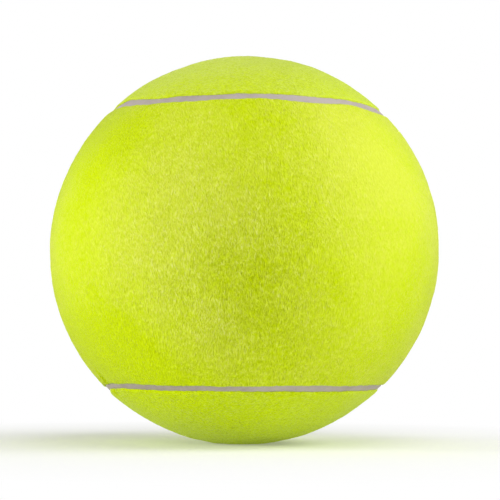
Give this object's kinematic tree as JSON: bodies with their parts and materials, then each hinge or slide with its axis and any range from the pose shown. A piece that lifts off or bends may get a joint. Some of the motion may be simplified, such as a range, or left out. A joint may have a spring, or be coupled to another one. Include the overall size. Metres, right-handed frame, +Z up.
{
  "type": "jumbo tennis ball",
  "caption": "Oversized inflatable tennis ball: rubber bladder with a needle valve, covered by interlocking felt panels that meet along a closed rubber seam strip.",
  "frame": {"origin": "on the ground, in the middle of the flattened patch under the ball", "axes": "+Z up through the centre of the ball; -Y towards the face between the two level seams; +Y out of the valve"},
  "size_m": [0.24, 0.2397, 0.2392],
  "materials": {
    "felt": "matte",
    "seam_rubber": "matte",
    "bladder_rubber": "matte",
    "valve_rubber": "satin"
  },
  "bodies": {
    "ball": {"bladder": "bladder_rubber", "valve_boss": "bladder_rubber", "felt_panel_front": "felt", "felt_panel_rear": "felt", "seam_strip": "seam_rubber"},
    "valve": {"valve_insert": "valve_rubber"}
  },
  "joints": [
    {"name": "valve_slide", "type": "slide", "parent": "ball", "child": "valve", "axis": [0, 1, 0], "range_m": [0, 0.015]}
  ]
}
